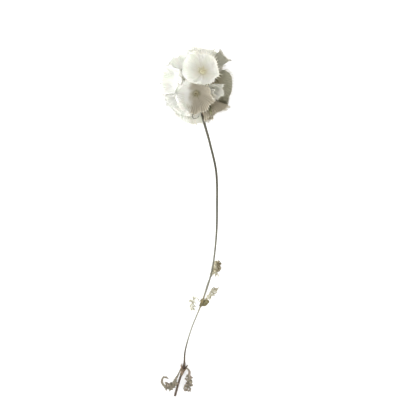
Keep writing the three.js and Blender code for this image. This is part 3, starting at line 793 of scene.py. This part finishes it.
def smooth_route(stops, count):
    """Evenly spaced points on a smooth curve through the stops."""
    stops = np.array(stops)
    stops = np.vstack((2 * stops[0] - stops[1], stops, 2 * stops[-1] - stops[-2]))
    knots = steps_of(stops, 0.5)
    pieces = []
    for k in range(1, len(stops) - 2):
        a, b, c, d = knots[k - 1 : k + 3]
        t = np.linspace(b, c, 40, endpoint=False)[:, None]
        one = between(t, a, b, stops[k - 1], stops[k])
        two = between(t, b, c, stops[k], stops[k + 1])
        three = between(t, c, d, stops[k + 1], stops[k + 2])
        first, second = between(t, a, c, one, two), between(t, b, d, two, three)
        pieces.append(between(t, b, c, first, second))
    points = np.vstack((*pieces, stops[-2]))
    steps = steps_of(points)
    return points_on(points, steps, np.linspace(0, steps[-1], count))


def turned_to(way):
    """The turn that takes +Z to a way."""
    return Vector((0, 0, 1)).rotation_difference(way).to_matrix().to_4x4()


stem_way = np.array(STEM_TOP_WAY)
stem_across, stem_along = sides_of(STEM_TOP_WAY)
ring_centre = np.array(GLOBE_CENTRE) / MM + stem_way * BRACT_FOOT
bracts = []
for index in range(BRACTS):
    angle = 2 * math.pi * (index + 0.3 * chance(index, 5)) / BRACTS
    outwards = math.cos(angle) * stem_across + math.sin(angle) * stem_along
    length = BRACT_LENGTH + LONGER * chance(index, 6)
    curl = 1.2 * (chance(index, 7) - 0.25)
    start = ring_centre + outwards * (COLLAR_RADIUS - 0.2)
    path = bent_path(start, stem_way, outwards, length, BRACT_LEAN, curl, 4.0)
    sideways = np.cross(stem_way, outwards)
    bracts.append(laid_blade("bract", path, sideways, BRACT_WIDTH, 0.25, 0.25, index))

bpy.ops.object.select_all(action="DESELECT")
bpy.ops.mesh.primitive_cylinder_add(
    vertices=27, radius=COLLAR_RADIUS * MM, depth=COLLAR_LENGTH * MM
)
collar = bpy.context.object
bpy.ops.object.mode_set(mode="EDIT")
bpy.ops.mesh.select_all(action="SELECT")
bpy.ops.mesh.bevel(offset=0.25 * MM, segments=3, affect="EDGES")
bpy.ops.object.mode_set(mode="OBJECT")
collar.data.transform(Matrix.Translation(Vector(ring_centre) * MM) @ turned_to(STEM_TOP_WAY))
bpy.ops.object.shade_smooth_by_angle(angle=math.radians(40))

dry_bract, tree, olive, relief = new_finish("dry_bract", 0.004, BRACT_TINTS)
edged = blended(tree, remapped(tree, stored(tree, "side"), 0.3, 1.0), olive, BRACT_EDGE)
finish_with(tree, edged, 0.7, relief, 0.05, 0.6, 0.25)

involucre = join_pieces([collar, *bracts], "involucre_bracts")
involucre.data.materials.append(dry_bract)
pieces = [involucre]
for seed, (name, (stops, width, sideways, tints)) in enumerate(LONG_BRACTS.items()):
    bract = laid_blade(name, smooth_route(stops, 60), sideways, width, 0.2, 0.15, 11 + seed)
    finish, tree, tint, relief = new_finish(name, 0.002, tints)
    finish_with(tree, tint, 0.75, relief, 0.05, 0.6, 0.15)
    bract.data.materials.append(finish)
    pieces.append(bract)
for piece in pieces:
    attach(piece, "root")
    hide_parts("involucre")

# ---- The stem and its side stalk ----
# A slender dry stem with fine ribs, olive brown and bleached in streaks. It bends on its way down
# and is thickened where leaves grow. The thin side stalk leaves it at the upper of these nodes.
STEM_ROUTE = (
    (0.55, 71.2, 18.3), (2.1, 60.2, 17.9), (6.9, 42.4, 16.0), (10.2, 27.4, 14.2),
    (10.7, 9.1, 12.0), (10.3, -8.1, 9.9), (7.8, -27.6, 7.6), (2.4, -44.8, 5.6),
    (-3.4, -59.4, 4.0), (-6.9, -72.0, 2.6), (-7.6, -80.6, 1.7), (-10.2, -88.4, 1.0),
    (-12.6, -97.0, 0.68),
)
STEM_PROFILE = (  # along Y: its radius, and how much paler its dark bark is there
    (71.0, 0.72, 0.0), (20.0, 0.68, 0.0), (-5.0, 0.61, 0.08), (-14.0, 0.55, 0.22),
    (-32.0, 0.49, 0.2), (-49.0, 0.45, 0.6), (-64.0, 0.45, 0.6), (-70.0, 0.48, 0.1),
    (-76.0, 0.53, 0.0), (-97.0, 0.66, 0.1),
)
NODES_Y = (-44.8, -80.6)
NODE_SWELLING = 0.4
NODE_LENGTH = 1.8
NODE_TINGE = 4.0  # how far the upper node's own colour reaches
SIDE_ROUTE = (
    (2.6, -44.4, 5.2), (4.4, -38.6, 3.6), (6.0, -33.6, 3.2), (7.7, -30.2, 3.2), (9.7, -28.0, 3.5),
)
SIDE_RADIUS = 0.36
STEM_SIDES = 18
STEM_FURROWS = (0, 1, 4, 7, 8, 11, 12, 15)  # the sides that have sunk in, unevenly, in drying
FURROW_DEPTHS = (0.16, 0.12)  # of the stem and of the side stalk
STEM_RINGS = 340
SIDE_RINGS = 50
BARK_TINTS = (0.04, 0.038, 0.026), (0.07, 0.066, 0.046), (0.03, 0.024, 0.016)
PALED_BARK = (0.32, 0.32, 0.27)
NODE_OCHRE = (0.2, 0.16, 0.07)
FOOT_RED = (0.075, 0.047, 0.034)
STREAK = (0.3, 0.28, 0.2)


def in_furrow(places):
    turns = np.arctan2(places[:, 1], places[:, 0]) / (2 * math.pi)
    return np.isin(np.round(turns * STEM_SIDES + 0.5) % STEM_SIDES, STEM_FURROWS)


def ribbed_rod(name, rings, depth):
    """A rod with closed ends. Its height is the number of the ring, and its radius 1."""
    rod = start_ring(STEM_SIDES, fill="TRIFAN")
    rod.name = name
    pull(rod, in_furrow, scale=1 - depth)
    bpy.ops.mesh.select_all(action="SELECT")
    raise_rings([(1, 1)] * rings)
    close_mesh()
    return rod


def lay_rod(rod, route, radii):
    """Bends a straight rod along a route of one point a ring."""
    model = places_of(rod)
    ring = np.round(model[:, 2]).astype(int)
    ahead = unit(np.gradient(route, axis=0))
    sideways = unit(np.cross(ahead, (0, 0, 1)))
    up = np.cross(sideways, ahead)
    out = model[:, :2] * radii[ring][:, None]
    points = route[ring] + out[:, :1] * sideways[ring] + out[:, 1:] * up[ring]
    rod.data.vertices.foreach_set("co", (points * MM).ravel())
    y = route[ring][:, 1]
    store(rod, "paled", np.interp(-y, -PROFILE_Y, PROFILE_PALED))
    store(rod, "upper_node", np.exp(-(((y - NODES_Y[0]) / NODE_TINGE) ** 2)))
    store(rod, "down", ring / STEM_RINGS)
    rod.data.update()


PROFILE_Y, PROFILE_RADIUS, PROFILE_PALED = np.array(STEM_PROFILE).T

route = smooth_route(STEM_ROUTE, STEM_RINGS + 1)
radii = np.interp(-route[:, 1], -PROFILE_Y, PROFILE_RADIUS)
for y in NODES_Y:
    radii += NODE_SWELLING * np.exp(-(((route[:, 1] - y) / NODE_LENGTH) ** 2))
stem = ribbed_rod("stem_ribbed", STEM_RINGS, FURROW_DEPTHS[0])
lay_rod(stem, route, radii)
stalk = ribbed_rod("side_stalk", SIDE_RINGS, FURROW_DEPTHS[1])
lay_rod(stalk, smooth_route(SIDE_ROUTE, SIDE_RINGS + 1), np.full(SIDE_RINGS + 1, SIDE_RADIUS))

bark, tree, dark, _ = new_finish("stem_bark", 0.012, BARK_TINTS)
lightened = blended(tree, stored(tree, "paled"), dark, PALED_BARK)
ochre = blended(tree, stored(tree, "upper_node"), lightened, NODE_OCHRE)
red_share = remapped(tree, stored(tree, "down"), 0.8, 0.9, 0.0, 0.85)
dull = blended(tree, red_share, ochre, FOOT_RED)
values = {"Vector": placed(tree)[0], "Scale": (1.0, 0.06, 1.0)}
streaks = clouded(tree, add_node(tree, "Mapping", values).outputs[0], 3500.0, 3.0)
streaked = blended(tree, remapped(tree, streaks, 0.4, 0.65, 0.0, 0.15), dull, STREAK)
finish_with(tree, streaked, remapped(tree, streaks, 0.3, 0.7, 0.4, 0.65), streaks, 0.06, 0.7)
tree.nodes["Principled BSDF"].inputs["Specular IOR Level"].default_value = 0.2

for piece in (stem, stalk):
    piece.data.materials.append(bark)
    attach(piece, "root")
    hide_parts("stem")

# ---- The sheaths at the nodes ----
# At each node the feet of the two leaves have grown together into a small cup round the stem, which
# stands open upwards and is tallest under the leaves. The upper one is ochre, the lower reddish.
SHEATH_SIDES = 28
SHEATH_RINGS = 10
SHEATH_RADIUS = 0.75  # at its foot
SHEATH_THICKNESS = 0.18
SHEATH_WRINKLES = 0.8, 0.7  # how often in a mm, and how deep
SHEATH_SPOTS = (0.12, 0.09, 0.05)
SHEATHS = {  # its foot's Y, its length, how far it flares and leans to one side, and its colours
    "sheath_upper": (-46.8, 4.2, 0.3, (0.3, 0, -0.4), ((0.09, 0.078, 0.034), (0.17, 0.145, 0.07))),
    "sheath_lower": (-85.2, 6.4, 1.1, (0, 0, 0), ((0.14, 0.08, 0.05), (0.28, 0.2, 0.13))),
}

model_sheath = start_ring(SHEATH_SIDES)
raise_rings([(1 / SHEATH_RINGS, 1)] * SHEATH_RINGS)
bpy.ops.object.mode_set(mode="OBJECT")

down = steps_of(route)
for name, (foot_y, length, flare, lean, tints) in SHEATHS.items():
    sheath = copy_of(model_sheath, name)
    x, y, share = places_of(sheath).T[:, :, None]
    foot = np.interp(-foot_y, -route[:, 1], down)
    middle = points_on(route, down, (foot - length * share * (1 - 0.5 * y**2)).ravel())
    ahead = route[np.searchsorted(down, foot)] - route[np.searchsorted(down, foot - length)]
    sideways = unit(np.cross(ahead, (0, 0, 1)))
    radius = SHEATH_RADIUS + flare * share**1.5
    points = middle + radius * (x * sideways + y * np.array((0, 0, 1))) + share**1.5 * lean
    wrinkle = noise_at(noise.noise_vector, points, SHEATH_WRINKLES[0], Vector())
    points += SHEATH_WRINKLES[1] * share * wrinkle
    make_sheet(sheath, points * MM, SHEATH_THICKNESS)
    finish, tree, tint, relief = new_finish(name, 0.003, (*tints, SHEATH_SPOTS))
    finish_with(tree, tint, 0.7, relief, 0.08, 0.7, 0.2)
    sheath.data.materials.append(finish)
    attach(sheath, "root")
    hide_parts("stem")
bpy.data.objects.remove(model_sheath)

# ---- The leaves ----
# Two pairs of small leaves, deeply cut into lobes. They have dried and crumpled, and each lobe has
# curled its own way. The upper pair has bleached, and the lower pair is brown with some pink.
LEAVES = {  # middle line, width, lobes on a side, where they start and end, the longest, and finish
    "leaf_upper_left": (
        ((1.2, -44.5, 6.0), (-0.6, -41.8, 7.2), (-2.4, -43.6, 6.8), (-2.8, -49.4, 4.6)),
        0.9, 5, (0.3, 0.97), 2.4, "bleached_leaf",
    ),
    "leaf_upper_right": (
        ((3.1, -43.2, 5.8), (5.8, -42.2, 7.2), (8.2, -39.8, 7.2), (9.6, -36.6, 5.6)),
        1.4, 6, (0.25, 0.97), 2.3, "specked_leaf",
    ),
    "leaf_lower_left": (
        ((-9.0, -81.4, 2.2), (-11.4, -86.0, 4.2), (-14.2, -90.9, 4.2), (-17.2, -91.6, 3.4),
         (-19.6, -89.6, 2.8), (-19.3, -86.9, 2.4), (-17.4, -86.2, 2.2), (-16.4, -87.8, 2.0)),
        1.9, 8, (0.3, 0.6), 3.0, "brown_leaf",
    ),
    "leaf_lower_right": (
        ((-6.4, -80.9, 2.2), (-4.7, -82.4, 4.2), (-4.7, -87.6, 4.0), (-5.9, -94.0, 1.6)),
        1.8, 6, (0.36, 0.97), 2.8, "brown_leaf",
    ),
}
LEAF_TINTS = {
    "bleached_leaf": ((0.88, 0.88, 0.8), (0.72, 0.72, 0.6), (0.3, 0.27, 0.18)),
    "specked_leaf": ((0.66, 0.64, 0.52), (0.46, 0.43, 0.32), (0.2, 0.17, 0.1)),
    "brown_leaf": ((0.27, 0.25, 0.19), (0.36, 0.29, 0.24), (0.13, 0.13, 0.09)),
}
VEIN = (0.3, 0.25, 0.16)
FLAP_ROUTE = ((1.7, -44.9, 4.6), (3.4, -44.7, 5.0), (5.0, -44.3, 5.2), (6.5, -43.9, 4.6))
FLAP_WIDTH = 4.4
FLAP_TINTS = (0.19, 0.165, 0.075), (0.29, 0.26, 0.14), (0.11, 0.1, 0.045)
LEAF_STALK = 0.4  # how wide a leaf starts, as a share of its width
LOBE_LEAN = 0.7
LOBE_CURL = 1.5
LEAF_POINTS = 41

leaf_finishes = {}
for name, tints in LEAF_TINTS.items():
    finish, tree, tint, relief = new_finish(name, 0.003, tints)
    vein_share = remapped(tree, stored(tree, "side"), 0.0, 0.35, 0.6, 0.0)
    finish_with(tree, blended(tree, vein_share, tint, VEIN), 0.75, relief, 0.1, 0.8, 0.3)
    leaf_finishes[name] = finish

for name, (stops, width, lobes, (first, last), longest, finish_name) in LEAVES.items():
    rib = smooth_route(stops, LEAF_POINTS)
    ahead = unit(np.gradient(rib, axis=0))
    blades = [laid_blade("lobe", rib, None, width, 0.4, 1.0, lobes, foot=LEAF_STALK)]
    for side in (1, -1):
        for k in range(lobes):
            luck = [chance(k + 10 * lobes, salt + side) for salt in (8, 18, 28, 38)]
            share = first + (last - first) * (k + 0.3 + 0.4 * luck[1]) / lobes
            at = round(share * (LEAF_POINTS - 1))
            across = side * unit(np.array((-ahead[at][1], ahead[at][0], 0)))
            up = unit(np.cross(ahead[at], across)) * side
            lean = LOBE_LEAN + 1.2 * (luck[2] - 0.5)
            outwards = unit(across + lean * ahead[at] + 0.7 * (luck[3] - 0.5) * up)
            along_leaf = 0.6 + 0.45 * math.sin(math.pi * (k + 0.9) / (lobes + 0.6))
            length = longest * along_leaf * (0.7 + 0.6 * luck[1])
            curl = LOBE_CURL * length * (luck[0] - 0.35)
            path = bent_path(rib[at], outwards, up, length, 0.0, curl, 1.2)
            sideways = np.cross(up, outwards) + (luck[2] - 0.5) * up
            lobe_width = (0.5 + 0.4 * luck[3]) * (0.4 + width)
            lobe = laid_blade("lobe", path, sideways, lobe_width, 0.35, 1.5, k + 7 * side)
            blades.append(lobe)
    leaf = join_pieces(blades, name + "_blades")
    leaf.data.materials.append(leaf_finishes[finish_name])
    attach(leaf, "root")
    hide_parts(name)

# The upper pair's common foot has spread into one broad olive flap.
flap_route = smooth_route(FLAP_ROUTE, LEAF_POINTS)
flap = laid_blade("leaf_flap", flap_route, (0.3, -1.0, 0.0), FLAP_WIDTH, 0.5, 0.4, 5)
finish, tree, tint, relief = new_finish("olive_leaf", 0.0025, FLAP_TINTS)
finish_with(tree, tint, 0.75, relief, 0.1, 0.8, 0.2)
flap.data.materials.append(finish)
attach(flap, "root")
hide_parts("leaf_upper_right")

# ---- The young head ----
# The small head on the side stalk has dried before it opened: an egg-shaped ball of tight little
# cups in a spiral, over a ring of its own bracts. Its -X side, towards the lamp, is painted cream
# as painted light.
YOUNG_CENTRE = np.array((10.5, -25.2, 3.6))
YOUNG_SIZE = np.array((1.7, 1.7, 3.6))
YOUNG_PAINTED_LIGHT = (9.6, 11.3)  # painted light along X: cream before it and brown past it, as on the globe
YOUNG_CUPS = 32
YOUNG_SIDES = 10
YOUNG_RADIUS = 0.27  # of a little cup, at its foot
YOUNG_STEPS = ((0.35, 1.5), (0.4, 1.3), (0.35, 1.12), (0.0, 0.85), (-0.4, 0.6))  # up, and wider
YOUNG_POINTS = 0.28
YOUNG_BRACTS = 8
YOUNG_BRACT = (3.6, 1.3)  # length and width
YOUNG_BROWN = (0.18, 0.15, 0.08), (0.3, 0.25, 0.15), (0.58, 0.52, 0.37)
YOUNG_CREAM = (0.86, 0.82, 0.66), (0.5, 0.45, 0.3), (0.2, 0.16, 0.08)
GOLDEN_ANGLE = math.radians(137.5)

model_young = start_ring(2 * YOUNG_SIDES, YOUNG_RADIUS, "TRIFAN")
raise_rings(YOUNG_STEPS)
pull(model_young, lambda at: (at[:, 2] > 1) & midway(at, YOUNG_SIDES), up=YOUNG_POINTS)
close_mesh()

young_way = Vector(YOUNG_CENTRE - np.array(SIDE_ROUTE[-1])).normalized()
young_turn = turned_to(young_way)
young_place = Matrix.Scale(MM, 4) @ Matrix.Translation(Vector(YOUNG_CENTRE)) @ young_turn
parts = []
for index in range(YOUNG_CUPS):
    height = 1 - 1.75 * (index + 0.5) / YOUNG_CUPS
    wide = math.sqrt(1 - height * height)
    turn = index * GOLDEN_ANGLE
    way = Vector((wide * math.cos(turn), wide * math.sin(turn), height))
    foot = Vector(np.array(way) * YOUNG_SIZE * (0.55 + 0.3 * chance(index, 14)))
    size = Matrix.Scale(0.8 + 0.5 * chance(index, 15), 4)
    part = copy_of(model_young, "young_cup")
    part.data.transform(young_place @ Matrix.Translation(foot) @ turned_to(way) @ size)
    parts.append(part)
bpy.data.objects.remove(model_young)

bpy.ops.object.select_all(action="DESELECT")
bpy.ops.mesh.primitive_uv_sphere_add(segments=24, ring_count=16, radius=1, location=(0, 0, 0))
young_core = bpy.context.object
young_core.data.transform(young_place @ Matrix.Diagonal((*(YOUNG_SIZE * 0.92), 1)))
bpy.ops.object.shade_smooth()

young_finish, tree, brown, relief = new_finish("young_cups", 0.0022, YOUNG_BROWN)
cream = patched(tree, 0.0018, *YOUNG_CREAM)[0]
# Painted light: cream on the lamp's -X side, brown past it.
brown_share = remapped(tree, placed(tree)[1], *(x * MM for x in YOUNG_PAINTED_LIGHT))
finish_with(tree, blended(tree, brown_share, cream, brown), 0.75, relief, 0.06, 0.7, 0.2)

young_head = join_pieces([young_core, *parts], "young_cups")
young_head.data.materials.append(young_finish)

parts = []
way = -np.array(young_way)
for index in range(YOUNG_BRACTS):
    angle = 2 * math.pi * (index + 0.5 * chance(index, 12)) / YOUNG_BRACTS
    around = Vector((math.cos(angle), math.sin(angle), 0))
    outwards = np.array(young_turn.to_3x3() @ around)
    start = YOUNG_CENTRE + way * 2.6 + outwards * 0.5
    curl = 0.9 + 0.8 * chance(index, 13)
    path = bent_path(start, outwards, way, YOUNG_BRACT[0], 0.25, curl, 1.0)
    sideways = np.cross(outwards, way)
    parts.append(laid_blade("bract", path, sideways, YOUNG_BRACT[1], 0.15, 0.3, 20 + index))
young_bracts = join_pieces(parts, "young_bracts")
young_bracts.data.materials.append(leaf_finishes["specked_leaf"])

for piece in (young_head, young_bracts):
    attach(piece, "root")
    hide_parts("young_head")
bpy.data.objects.remove(model_blade)
